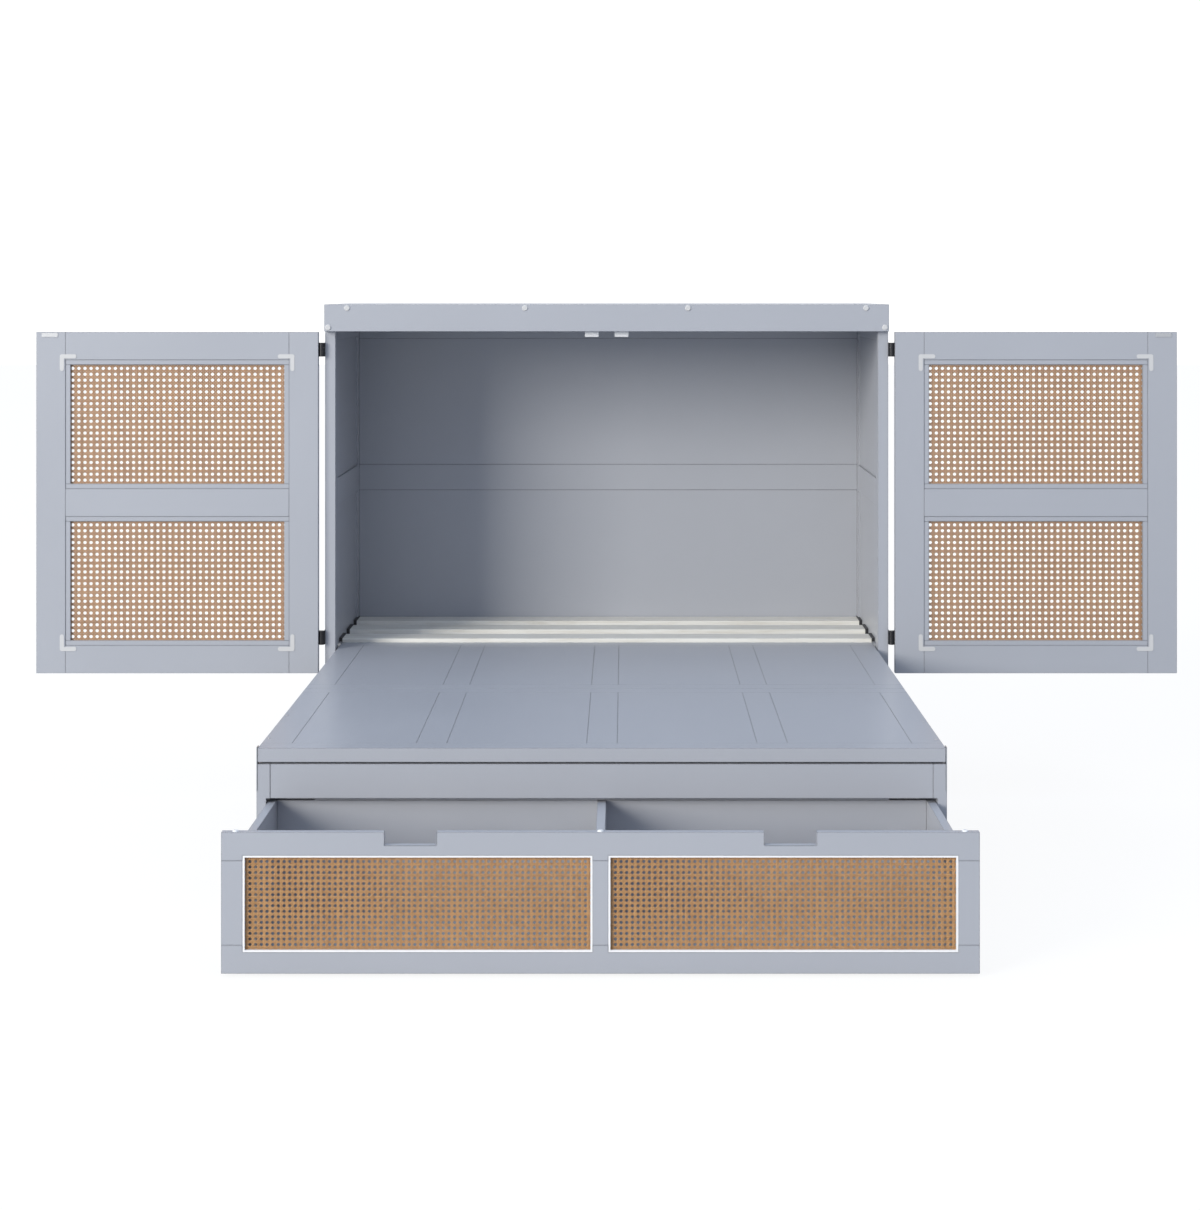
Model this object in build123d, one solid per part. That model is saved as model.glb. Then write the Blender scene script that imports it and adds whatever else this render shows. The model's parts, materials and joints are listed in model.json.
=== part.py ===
from build123d import *
from math import cos, radians, sin
import os

# A storage bed: a wall cabinet with two cane doors. Its platform folds in the middle and
# its foot unit, with a wide drawer, rolls into the cabinet underneath. Millimetres.
# X runs to the right, -Y runs to the foot of the bed and +Z is up. The origin is on the
# floor, in the middle of the footprint. It is drawn with doors, platform and drawer open.

# Cabinet
cabinet_width = 1625
cabinet_height = 1430
cabinet_depth = 612
side_thickness = 30
back_thickness = 18
top_thickness = 25
header_height = 78
header_thickness = 22
levelling_foot_height = 6
levelling_foot_radius = 14
levelling_foot_inset = 40
side_front_stile = 48
side_rear_stile = 50
side_rail = 80
mid_rail_bottom = 843
back_top_rail = 86
side_recess = 6
back_recess = 1.5
top_rail_thickness = 22
edge_round = 1
wall_screw_spacing = 1000
wall_screw_radius = 3
cap_radius = 8.5
cap_rise = 3
cap_bevel_share = 0.7
cap_top_inset = 10.5
cap_outer_inset = 66
cap_inner_spacing = 469
cap_corner_inset = 11.5
catch_width = 40
catch_height = 16
catch_depth = 14
catch_spacing = 86
catch_setback = 3

# Doors
door_thickness = 22
door_bottom = 369
door_top_gap = 1.5
door_meeting_gap = 3
door_hinge_gap = 17
door_stile = 84
door_rail = 80
rebate_lip = 14
rebate_depth = 12
bead_width = 14
bead_thickness = 8
door_cane_thickness = 2.5
bracket_arm = 48
bracket_width = 12
bracket_thickness = 1.2
bracket_offset = 16
strike_width = 46
strike_height = 11
strike_thickness = 1.5
strike_edge_inset = 16
strike_top_inset = 3
hinge_height = 40
hinge_end_inset = 51
hinge_foot_inset = 101
hinge_barrel_radius = 7.5
hinge_pin_radius = 2.5
hinge_leaf_thickness = 2
hinge_leaf_width = 38

# Platform, slats and the fold
platform_top = 435
slab_thickness = 32
infill_thickness = 12
platform_side_gap = 3.5
platform_reach = 1477
platform_inside = 131.3
slab_stile = 70
slab_rail = 60
inner_stile_spacing = 390
pivot_inset = 11
pivot_drop = 10
pivot_radius = 5
pivot_engagement = 20
pivot_flange_radius = 14
pivot_flange_thickness = 2.5
fold_angle = 88
seam_gap = 1
seam_axis_drop = 4
seam_barrel_radius = 3.5
seam_pin_radius = 1.8
seam_hinge_length = 80
seam_hinge_spacing = 560
seam_leaf_width = 32
seam_leaf_thickness = 2
leg_width = 45
leg_thickness = 18
leg_spacing = 1040
leg_setback = 85
leg_axis_drop = 23
leg_shaft_radius = 6
leg_shaft_overhang = 12
slat_width = 96
slat_thickness = 18
slat_rise = 10
first_slat = 140
last_slat_gap = 4
slat_count = 3
ledge_width = 30
ledge_height = 20
slat_end_gap = 1.5
holder_lip = 3.5
holder_wall = 2.5
holder_floor = 2
panel_screw_radius = 3.5
panel_screw_rise = 0.6
panel_screw_inset = 9
left_screw_insets = (116, 413)
right_screw_insets = (103, 326)

# Foot unit
unit_side_gap = 1
unit_depth = 340
unit_top = 399
post_thickness = 31
end_thickness = 22
post_foot_gap = 6
apron_height = 78
apron_thickness = 22
apron_recess = 1
cleat_length = 1306
cleat_thickness = 22
cleat_gap = 1.5
base_bottom = 14
base_thickness = 18
base_rail = 40
bearer_width = 60
bearer_spacing = 1000
pivot_plate_thickness = 2
pivot_plate_width = 24
pivot_plate_length = 60
pivot_plate_rise = 12
roller_radius = 18
roller_width = 12
roller_stub_radius = 4
roller_inset = 45

# Drawer and runners
drawer_reach = 290
front_thickness = 20
front_bottom = 8
front_height = 303
front_end_margin = 46
front_top_margin = 50
front_bottom_margin = 46
front_middle = 34
front_rail = 61
notch_width = 112
notch_depth = 28.5
notch_spacing = 814
drawer_bead = 4.3
drawer_bead_depth = 6
drawer_bead_recess = 0.5
drawer_cane_thickness = 2.5
retainer_width = 8
retainer_thickness = 6
box_depth = 319
box_side_gap = 1.5
box_side = 19
box_bottom = 10
divider_thickness = 20
runner_width = 44
runner_web = 2
runner_wall = 4
screw_cap_radius = 7
screw_cap_rise = 3

# Clearances
running_gap = 0.05
sliding_gap = 0.3
swing_gap = 0.5

# Places worked out from the sizes above
front_y = (platform_reach + drawer_reach - cabinet_depth - back_thickness) / 2
back_y = front_y + cabinet_depth
half_width = cabinet_width / 2
inner_x = half_width - side_thickness
header_bottom = cabinet_height - header_height
top_bottom = cabinet_height - top_thickness
door_top = header_bottom - door_top_gap
door_width = half_width - door_meeting_gap / 2
door_edge = half_width + door_hinge_gap
hinge_x = half_width + door_hinge_gap / 2
hinge_y = front_y - door_thickness / 2
opening_height = (door_top - door_bottom - 3 * door_rail) / 2
upper_hinge_z = door_top - hinge_end_inset
lower_hinge_z = door_bottom + hinge_foot_inset

slab_bottom = platform_top - slab_thickness
infill_bottom = platform_top - infill_thickness
platform_x = inner_x - platform_side_gap
platform_back = front_y + platform_inside
platform_front = front_y - platform_reach
pivot_z = platform_top - pivot_drop
rear_pivot_y = platform_back - pivot_inset
front_pivot_y = platform_front + pivot_inset
seam_y = (rear_pivot_y + front_pivot_y) / 2
seam_z = slab_bottom - seam_axis_drop
leg_y = seam_y + leg_setback
leg_z = platform_top - leg_axis_drop
slat_top = platform_top + slat_rise
slat_bottom = slat_top - slat_thickness
slat_run = cabinet_depth - first_slat - slat_width - last_slat_gap
slat_pitch = slat_run / (slat_count - 1)
ledge_top = slat_bottom - holder_floor

unit_x = inner_x - unit_side_gap
post_inner_x = unit_x - post_thickness
end_inner_x = unit_x - end_thickness
unit_back = platform_front + unit_depth
apron_bottom = unit_top - apron_height
base_top = base_bottom + base_thickness

front_face = platform_front - drawer_reach
front_back = front_face + front_thickness
front_top = front_bottom + front_height
field_width = half_width - front_end_margin - front_middle / 2
field_bottom = front_bottom + front_bottom_margin
field_top = front_top - front_top_margin
box_x = end_inner_x - box_side_gap
box_top = front_top
box_back = front_back + box_depth
runner_middle_bottom = base_top + runner_web + sliding_gap
runner_split = base_top + runner_web + runner_wall
runner_inner_bottom = runner_split + sliding_gap
runner_inner_web = runner_inner_bottom + runner_wall
box_floor = runner_inner_web + runner_web
fold_arm = seam_y - front_pivot_y
fold_drop = (pivot_z - seam_z) * sin(radians(fold_angle))
fold_travel = 2 * (fold_arm * (1 - cos(radians(fold_angle))) - fold_drop)
closed_gap = fold_travel - platform_reach + 2 * swing_gap
drawer_travel = platform_front - closed_gap - front_back


def block(x0, x1, y0, y1, z0, z1):
    """A sharp-edged box between two corners, given in any order."""
    centre = Pos((x0 + x1) / 2, (y0 + y1) / 2, (z0 + z1) / 2)
    return centre * Box(abs(x1 - x0), abs(y1 - y0), abs(z1 - z0))


def board(x0, x1, y0, y1, z0, z1):
    """A board between two corners, with every edge rounded."""
    body = block(x0, x1, y0, y1, z0, z1)
    return fillet(body.edges(), edge_round)


def rod_x(x0, x1, y, z, radius):
    """A round bar along X."""
    return Pos((x0 + x1) / 2, y, z) * Rot(0, 90, 0) * Cylinder(radius, abs(x1 - x0))


def rod_y(x, y0, y1, z, radius):
    """A round bar along Y."""
    return Pos(x, (y0 + y1) / 2, z) * Rot(90, 0, 0) * Cylinder(radius, abs(y1 - y0))


def rod_z(x, y, z0, z1, radius):
    """A round bar along Z."""
    return Pos(x, y, (z0 + z1) / 2) * Cylinder(radius, abs(z1 - z0))


def both_sides(make):
    """The same piece made on the left and on the right."""
    return [make(-1), make(1)]


def save(name, *pieces):
    """Writes one sub-part, which may be a group of separate solids."""
    group = pieces[0] if len(pieces) == 1 else Compound(children=list(pieces))
    export_step(group, f"parts/{name}.step")


def cabinet_sides():
    """Side frames of two stiles and three rails, with two infill panels each."""
    bottom = levelling_foot_height
    stile_front = front_y + side_front_stile
    stile_rear = back_y + back_thickness - side_rear_stile
    rail_levels = (
        (bottom, bottom + side_rail),
        (mid_rail_bottom, mid_rail_bottom + side_rail),
        (top_bottom - side_rail, top_bottom),
    )
    panels = []
    for name, side in (("left", -1), ("right", 1)):
        inner, outer = side * inner_x, side * half_width
        boards = [
            board(inner, outer, front_y, stile_front, bottom, top_bottom),
            board(inner, outer, stile_rear, back_y + back_thickness, bottom, top_bottom),
        ]
        for low, high in rail_levels:
            boards.append(board(inner, outer, stile_front, stile_rear, low, high))
        save(f"{name}_side_frame", *boards)
        for below, above in zip(rail_levels, rail_levels[1:]):
            recessed = side * (inner_x + side_recess), side * (half_width - side_recess)
            panels.append(block(*recessed, stile_front, stile_rear, below[1], above[0]))
    save("side_panels", *panels)


def cabinet_back():
    """Three rails across the back with a panel in each gap, and wall-fixing holes."""
    face = back_y, back_y + back_thickness
    bottom = levelling_foot_height
    levels = (
        (bottom, bottom + side_rail),
        (mid_rail_bottom, mid_rail_bottom + side_rail),
        (top_bottom - back_top_rail, top_bottom),
    )
    rails = [board(-inner_x, inner_x, *face, low, high) for low, high in levels]
    hole_z = top_bottom - back_top_rail / 2
    for side in (-1, 1):
        x = side * wall_screw_spacing / 2
        rails[2] -= rod_y(x, face[0] - 1, face[1] + 1, hole_z, wall_screw_radius)
    save("back_rails", *rails)
    panels = []
    for below, above in zip(levels, levels[1:]):
        recessed = face[0] + back_recess, face[1] - back_recess
        panels.append(block(-inner_x, inner_x, *recessed, below[1], above[0]))
    save("back_panels", *panels)


def cabinet_top():
    """Top panel, the header in front of it, the rail behind the header and its caps."""
    face = front_y - header_thickness
    rear = back_y + back_thickness
    save("top_panel", board(-half_width, half_width, front_y, rear, top_bottom, cabinet_height))
    save("header", board(-half_width, half_width, face, front_y, header_bottom, cabinet_height))
    rail_back = front_y + top_rail_thickness
    save("top_rail", board(-inner_x, inner_x, front_y, rail_back, header_bottom, top_bottom))
    upper_z = cabinet_height - cap_top_inset
    lower_z = header_bottom + cap_corner_inset
    corner_x = half_width - cap_corner_inset
    places = [(side * (half_width - cap_outer_inset), upper_z) for side in (-1, 1)]
    places += [(side * cap_inner_spacing / 2, upper_z) for side in (-1, 1)]
    places += [(side * corner_x, lower_z) for side in (-1, 1)]
    forward = Rot(90, 0, 0) * screw_cap(cap_radius, cap_rise)
    save("header_bolt_caps", *[Pos(x, face, z) * forward for x, z in places])


def screw_cap(radius, rise):
    """A round cap on the ground, pointing up, with a bevel most of the way to its flat top."""
    body = Pos(0, 0, rise / 2) * Cylinder(radius, rise)
    return chamfer(body.edges().sort_by(Axis.Z)[-1], cap_bevel_share * rise)


def cabinet_fittings():
    """Levelling feet, magnetic catches and the pins that the platform turns on."""
    feet = []
    for side in (-1, 1):
        for y in (front_y + levelling_foot_inset, back_y - levelling_foot_inset):
            x = side * (half_width - side_thickness / 2)
            feet.append(rod_z(x, y, 0, levelling_foot_height, levelling_foot_radius))
    save("levelling_feet", *feet)

    def catch(side):
        middle = side * catch_spacing / 2
        face = front_y + catch_setback
        span = middle - catch_width / 2, middle + catch_width / 2
        return board(*span, face, face + catch_depth, header_bottom - catch_height, header_bottom)

    save("door_catches", *both_sides(catch))

    def pivot_pin(side):
        flange_x = side * (inner_x - pivot_flange_thickness)
        tip_x = side * (platform_x - pivot_engagement)
        seat_x = side * (inner_x + side_recess)
        flange = rod_x(seat_x, flange_x, rear_pivot_y, pivot_z, pivot_flange_radius)
        return flange + rod_x(flange_x, tip_x, rear_pivot_y, pivot_z, pivot_radius)

    save("rear_pivot_pins", *both_sides(pivot_pin))


def slats():
    """Slats on two ledges inside the cabinet, each slat between two end holders."""
    ledge_front = front_y + first_slat - holder_wall
    stile_rear = back_y + back_thickness - side_rear_stile

    def recess(side, z0, z1):
        """The space between the panel's face and the rear stile's face, up to the stile."""
        span = side * inner_x, side * (inner_x + side_recess)
        return block(*span, ledge_front, stile_rear, z0, z1)

    def ledge(side):
        span = side * (inner_x - ledge_width), side * inner_x
        low = ledge_top - ledge_height
        return block(*span, ledge_front, back_y, low, ledge_top) + recess(side, low, ledge_top)

    save("slat_ledges", *both_sides(ledge))
    slat_x = inner_x - slat_end_gap
    holders = []
    for index in range(slat_count):
        start = front_y + first_slat + index * slat_pitch
        end = start + slat_width
        slat = board(-slat_x, slat_x, start, end, slat_bottom, slat_top)
        save(f"slat_{index + 1}", slat)
        for side in (-1, 1):
            face, seat = side * (inner_x - holder_lip), side * (inner_x + side_recess)
            top = slat_top + holder_wall
            shell = block(face, seat, start - holder_wall, end + holder_wall, ledge_top, top)
            shell -= block(0, side * slat_x, start, end, slat_bottom, slat_top)
            shell -= block(side * inner_x, seat + side, stile_rear, back_y, ledge_top - 1, top + 1)
            holders.append(shell)
    save("slat_end_holders", *holders)


def door_knuckles(side, z, fixed):
    """The knuckles of one door hinge that belong to the cabinet or to the door."""
    third = hinge_height / 3
    bottom = z - hinge_height / 2
    if fixed:
        spans = [(bottom, bottom + third), (bottom + 2 * third, bottom + hinge_height)]
    else:
        spans = [(bottom + third + sliding_gap, bottom + 2 * third - sliding_gap)]
    return [rod_z(side * hinge_x, hinge_y, low, high, hinge_barrel_radius) for low, high in spans]


def door_leaf(side, z, fixed):
    """One leaf of a door hinge: a plate with its knuckles, bored for the pin."""
    axis_x = side * hinge_x
    low, high = z - hinge_height / 2, z + hinge_height / 2
    third = hinge_height / 3
    sweep = hinge_barrel_radius + sliding_gap
    if fixed:
        span = side * half_width, side * (half_width + hinge_leaf_thickness)
        plate = block(*span, hinge_y, front_y + hinge_leaf_width, low, high)
        plate -= rod_z(axis_x, hinge_y, low + third, high - third, sweep)
        bore = hinge_pin_radius
    else:
        span = side * (door_edge - hinge_leaf_thickness), side * door_edge
        plate = block(*span, hinge_y, front_y - edge_round, low, high)
        plate -= rod_z(axis_x, hinge_y, low - 1, low + third + sliding_gap, sweep)
        plate -= rod_z(axis_x, hinge_y, high - third - sliding_gap, high + 1, sweep)
        bore = hinge_pin_radius + running_gap
    for knuckle in door_knuckles(side, z, fixed):
        plate += knuckle
    return plate - rod_z(axis_x, hinge_y, low - 1, high + 1, bore)


def door_hinges(name, side):
    """Two hinges: cabinet leaves with their pins, and door leaves."""
    fixed = []
    moving = []
    for z in (upper_hinge_z, lower_hinge_z):
        low, high = z - hinge_height / 2, z + hinge_height / 2
        fixed.append(door_leaf(side, z, True))
        fixed.append(rod_z(side * hinge_x, hinge_y, low, high, hinge_pin_radius))
        moving.append(door_leaf(side, z, False))
    save(f"{name}_hinge_cabinet_leaves", *fixed)
    save(f"{name}_hinge_door_leaves", *moving)


def door(name, side):
    """A door standing open: frame, beads, two cane panels, brackets and strike plate."""

    def span(near, far):
        return side * (door_edge + near), side * (door_edge + far)

    inner_face, outer_face = front_y - door_thickness, front_y
    lower = door_bottom + door_rail
    upper = lower + opening_height + door_rail
    far = door_width - door_stile
    near = door_stile
    frame = [
        board(*span(0, near), inner_face, outer_face, door_bottom, door_top),
        board(*span(far, door_width), inner_face, outer_face, door_bottom, door_top),
    ]
    for low in (door_bottom, lower + opening_height, door_top - door_rail):
        frame.append(board(*span(near, far), inner_face, outer_face, low, low + door_rail))
    beads = []
    rebate_y = inner_face + rebate_depth
    cane_y = rebate_y - door_cane_thickness
    bead_y = cane_y - bead_thickness
    for label, low in (("lower", lower), ("upper", upper)):
        high = low + opening_height
        edges = (low, low + rebate_lip), (high - rebate_lip, high)
        for z0, z1 in edges:
            frame.append(block(*span(near, far), rebate_y, outer_face - edge_round, z0, z1))
        for u0, u1 in ((near, near + rebate_lip), (far - rebate_lip, far)):
            lip = block(*span(u0, u1), rebate_y, outer_face - edge_round, edges[0][1], edges[1][0])
            frame.append(lip)
        for z0, z1 in ((low, low + bead_width), (high - bead_width, high)):
            beads.append(board(*span(near, far), bead_y, cane_y, z0, z1))
        for u0, u1 in ((near, near + bead_width), (far - bead_width, far)):
            strip = board(*span(u0, u1), bead_y, cane_y, low + bead_width, high - bead_width)
            beads.append(strip)
        cane = block(*span(near, far), cane_y, rebate_y, low, high)
        save(f"{name}_door_{label}_cane", cane)
    save(f"{name}_door_frame", *frame)
    save(f"{name}_door_beads", *beads)

    brackets = []
    reach = near - bracket_offset
    for corner_u, arm_u in ((reach, 1), (door_width - reach, -1)):
        for corner_z, arm_z in ((lower - bracket_offset, 1),
                                (upper + opening_height + bracket_offset, -1)):
            x = side * (door_edge + corner_u)
            brackets.append(corner_bracket(x, corner_z, side * arm_u, arm_z))
    save(f"{name}_door_corner_brackets", *brackets)

    strike_u = door_width - strike_edge_inset
    strike_z = door_top - strike_top_inset
    plate = block(*span(strike_u - strike_width, strike_u), inner_face - strike_thickness,
                  inner_face, strike_z - strike_height, strike_z)
    save(f"{name}_door_strike_plate", plate)


def corner_bracket(x, z, to_x, to_z):
    """An L-shaped plate with round ends, lying on the door's inner face."""
    face = Plane(origin=(0, front_y - door_thickness, 0), x_dir=(1, 0, 0), z_dir=(0, -1, 0))
    half = bracket_arm / 2
    inset = bracket_width / 2
    level = Pos(x + to_x * half, z + to_z * inset) * SlotOverall(bracket_arm, bracket_width)
    upright = Pos(x + to_x * inset, z + to_z * half) * Rot(0, 0, 90) * SlotOverall(
        bracket_arm, bracket_width)
    return extrude(face * (level + upright), bracket_thickness)


def slab_panel(name, front, rear, pin_y):
    """Half of the platform: two through rails, five stiles between them, four infills on top."""
    inside = front + slab_rail, rear - slab_rail
    rails = []
    for start, end in ((front, inside[0]), (inside[1], rear)):
        rail = board(-platform_x, platform_x, start, end, slab_bottom, platform_top)
        if start < pin_y < end:
            for side in (-1, 1):
                tip = side * (platform_x - pivot_engagement - swing_gap)
                edge = side * (platform_x + 1)
                rail -= rod_x(tip, edge, pin_y, pivot_z, pivot_radius + running_gap)
        rails.append(rail)
    edge_middle = platform_x - slab_stile / 2
    middles = (-edge_middle, -inner_stile_spacing, 0, inner_stile_spacing, edge_middle)
    half = slab_stile / 2
    stiles = []
    for middle in middles:
        stile = board(middle - half, middle + half, *inside, slab_bottom, platform_top)
        if front < leg_y < rear and abs(middle) < edge_middle:
            radius = leg_shaft_radius + running_gap
            stile -= rod_x(middle - half - 1, middle + half + 1, leg_y, leg_z, radius)
        stiles.append(stile)
    infills = []
    for left, right in zip(middles, middles[1:]):
        infills.append(board(left + half, right - half, *inside, infill_bottom, platform_top))
    save(f"{name}_frame", *rails, *stiles)
    save(f"{name}_infills", *infills)


def seam_leaf(x, toward, fixed):
    """One leaf of a seam hinge under the platform, with its knuckles along X."""
    third = seam_hinge_length / 3
    left, right = x - seam_hinge_length / 2, x + seam_hinge_length / 2
    near = seam_y + toward * seam_gap / 2
    far = seam_y + toward * seam_leaf_width
    plate = block(left, right, near, far, slab_bottom - seam_leaf_thickness, slab_bottom)
    sweep = seam_barrel_radius + sliding_gap
    middle = left + third, right - third
    outer = (left, middle[0] - sliding_gap), (middle[1] + sliding_gap, right)
    if fixed:
        plate -= rod_x(*middle, seam_y, seam_z, sweep)
        knuckles = outer
        bore = seam_pin_radius
    else:
        plate -= rod_x(left - 1, middle[0], seam_y, seam_z, sweep)
        plate -= rod_x(middle[1], right + 1, seam_y, seam_z, sweep)
        knuckles = [(middle[0] + sliding_gap, middle[1] - sliding_gap)]
        bore = seam_pin_radius + running_gap
    for low, high in knuckles:
        plate += rod_x(low, high, seam_y, seam_z, seam_barrel_radius)
    return plate - rod_x(left - 1, right + 1, seam_y, seam_z, bore)


def seam_hinges():
    """Three hinges under the seam, with pins held by the mid panel's leaves."""
    fixed = []
    moving = []
    for index in (-1, 0, 1):
        x = index * seam_hinge_spacing
        half = seam_hinge_length / 2
        fixed.append(seam_leaf(x, 1, True))
        fixed.append(rod_x(x - half, x + half, seam_y, seam_z, seam_pin_radius))
        moving.append(seam_leaf(x, -1, False))
    save("seam_hinge_mid_leaves", *fixed)
    save("seam_hinge_foot_leaves", *moving)


def panel_screws():
    """Four screw heads near the foot panel's side edges."""
    heads = []
    for side, insets in ((-1, left_screw_insets), (1, right_screw_insets)):
        for inset in insets:
            x = side * (platform_x - panel_screw_inset)
            y = platform_front + inset
            top = platform_top + panel_screw_rise
            heads.append(rod_z(x, y, platform_top, top, panel_screw_radius))
    save("foot_panel_screws", *heads)


def support_legs():
    """Two legs fixed on a shaft that turns in the mid panel's stiles."""

    def leg(side):
        x = side * leg_spacing / 2
        half = leg_width / 2
        radius = leg_thickness / 2
        shank = block(x - half, x + half, leg_y - radius, leg_y + radius, 0, leg_z)
        head = rod_x(x - half, x + half, leg_y, leg_z, radius)
        bore = rod_x(x - half - 1, x + half + 1, leg_y, leg_z, leg_shaft_radius)
        return shank + head - bore

    save("support_legs", *both_sides(leg))
    reach = leg_spacing / 2 + leg_width / 2 + leg_shaft_overhang
    save("leg_shaft", rod_x(-reach, reach, leg_y, leg_z, leg_shaft_radius))


def foot_unit():
    """End panels, apron, rails and bearers that carry the foot panel and the drawer."""
    roller_places = platform_front + roller_inset, unit_back - roller_inset
    slot_half = roller_width / 2 + swing_gap
    middle_x = unit_x - end_thickness / 2
    for name, side in (("left", -1), ("right", 1)):
        span = side * post_inner_x, side * unit_x
        panel = board(*span, platform_front, unit_back, post_foot_gap, unit_top)
        panel -= block(side * (post_inner_x - 1), side * end_inner_x, platform_front - 1,
                       unit_back + 1, 0, apron_bottom)
        plate_x = side * (unit_x - pivot_plate_thickness)
        half = pivot_plate_width / 2
        panel -= block(plate_x, side * (unit_x + 1), front_pivot_y - half, front_pivot_y + half,
                       unit_top - pivot_plate_length, unit_top + 1)
        for y in roller_places:
            reach = roller_radius + 2 * swing_gap
            slot = side * (middle_x - slot_half), side * (middle_x + slot_half)
            panel -= block(*slot, y - reach, y + reach, 0, roller_radius + reach)
            radius = roller_stub_radius + running_gap
            panel -= rod_x(*span, y, roller_radius, radius)
        save(f"{name}_end_panel", panel)

    face = platform_front + apron_recess
    inside = -post_inner_x, post_inner_x
    save("apron", board(*inside, face, face + apron_thickness, apron_bottom, unit_top))
    start = platform_front + apron_recess
    below = -end_inner_x, end_inner_x
    cleat = -cleat_length / 2, cleat_length / 2
    cleat_y = face + apron_thickness
    rails = [
        board(*inside, unit_back - apron_thickness, unit_back, apron_bottom, unit_top),
        board(*cleat, cleat_y, cleat_y + cleat_thickness, box_top + cleat_gap, unit_top),
        board(*below, start, start + base_rail, base_bottom, base_top),
        board(*below, unit_back - base_rail, unit_back, base_bottom, base_top),
    ]
    for side in (-1, 1):
        x = side * bearer_spacing / 2
        half = bearer_width / 2
        bearer = block(x - half, x + half, start + base_rail, unit_back - base_rail,
                       base_bottom, base_top)
        rails.append(bearer)
    save("foot_unit_rails", *rails)

    def pivot_plate(side):
        plate_x = side * (unit_x - pivot_plate_thickness)
        half = pivot_plate_width / 2
        low, high = unit_top - pivot_plate_length, pivot_z + pivot_plate_rise
        plate = block(plate_x, side * unit_x, front_pivot_y - half, front_pivot_y + half, low, high)
        tip = side * (platform_x - pivot_engagement)
        return plate + rod_x(side * unit_x, tip, front_pivot_y, pivot_z, pivot_radius)

    save("foot_pivot_plates", *both_sides(pivot_plate))

    for name, y in zip(("front", "rear"), roller_places):
        rollers = []
        for side in (-1, 1):
            x = side * middle_x
            half = roller_width / 2
            stub = end_thickness / 2 - swing_gap
            wheel = rod_x(x - half, x + half, y, roller_radius, roller_radius)
            rollers.append(wheel + rod_x(x - stub, x + stub, y, roller_radius, roller_stub_radius))
        save(f"{name}_rollers", *rollers)


def runners():
    """Three-member runners under the drawer: outer, middle and inner members."""
    half = runner_width / 2
    slide_x = half - runner_web - sliding_gap
    length = box_depth - front_thickness / 2
    start = platform_front + apron_recess
    outer, middle, inner = [], [], []
    for side in (-1, 1):
        x = side * bearer_spacing / 2
        channel = block(x - half, x + half, start, start + length, base_top, runner_split)
        groove = half - runner_web
        outer.append(channel - block(x - groove, x + groove, start - 1, start + length + 1,
                                     base_top + runner_web, runner_split + 1))
        middle_start = start - drawer_travel / 2
        middle_top = runner_inner_web - sliding_gap
        middle.append(block(x - slide_x, x + slide_x, middle_start, middle_start + length,
                            runner_middle_bottom, middle_top))
        inner_start = start - drawer_travel
        cap = block(x - half, x + half, inner_start, inner_start + length,
                    runner_inner_bottom, box_floor)
        inner.append(cap - block(x - groove, x + groove, inner_start - 1, inner_start + length + 1,
                                 runner_inner_bottom - 1, runner_inner_web))
    save("runner_outer_members", *outer)
    save("runner_middle_members", *middle)
    save("runner_inner_members", *inner)


def drawer_front():
    """A framed front with two notches to pull it by and two beaded cane fields."""
    depth = front_face, front_back
    lower = board(-half_width, half_width, *depth, front_bottom, front_bottom + front_rail)
    upper = board(-half_width, half_width, *depth, front_top - front_rail, front_top)
    ends = [board(side * half_width, side * (half_width - front_end_margin), *depth,
                  front_bottom + front_rail, front_top - front_rail) for side in (-1, 1)]
    middle = board(-front_middle / 2, front_middle / 2, *depth,
                   front_bottom + front_rail, front_top - front_rail)
    beads, cane, retainers = [], [], []
    bead_y = front_face + drawer_bead_recess
    cane_y = bead_y + drawer_bead_depth
    retainer_y = cane_y + drawer_cane_thickness
    retainer_back = retainer_y + retainer_thickness
    for side in (-1, 1):
        near = side * front_middle / 2
        far = side * (front_middle / 2 + field_width)
        field = block(near, far, front_face - 1, front_back + 1, field_bottom, field_top)
        lower -= field
        upper -= field
        notch_x = side * notch_spacing / 2
        half = notch_width / 2
        upper -= block(notch_x - half, notch_x + half, front_face - 1, front_back + 1,
                       front_top - notch_depth, front_top + 1)
        for low, high in ((field_bottom, field_bottom + drawer_bead),
                          (field_top - drawer_bead, field_top)):
            beads.append(block(near, far, bead_y, cane_y, low, high))
        for start, end in ((near, near + side * drawer_bead), (far - side * drawer_bead, far)):
            beads.append(block(start, end, bead_y, cane_y, field_bottom + drawer_bead,
                               field_top - drawer_bead))
        cane.append(block(near, far, cane_y, retainer_y, field_bottom, field_top))
        ring = block(near, far, retainer_y, retainer_back, field_bottom, field_top)
        opening = near + side * retainer_width, far - side * retainer_width
        ring -= block(*opening, retainer_y - 1, retainer_back + 1,
                      field_bottom + retainer_width, field_top - retainer_width)
        retainers.append(ring)
    save("drawer_front_frame", lower, upper, *ends, middle)
    save("drawer_front_beads", *beads)
    save("drawer_front_cane", *cane)
    save("drawer_cane_retainers", *retainers)

    cap = screw_cap(screw_cap_radius, screw_cap_rise)
    depth_middle = (front_face + front_back) / 2
    end_x = half_width - front_end_margin / 2 - screw_cap_radius
    caps = [Pos(x, depth_middle, front_top) * cap for x in (-end_x, 0, end_x)]
    save("drawer_screw_caps", *caps)


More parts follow.
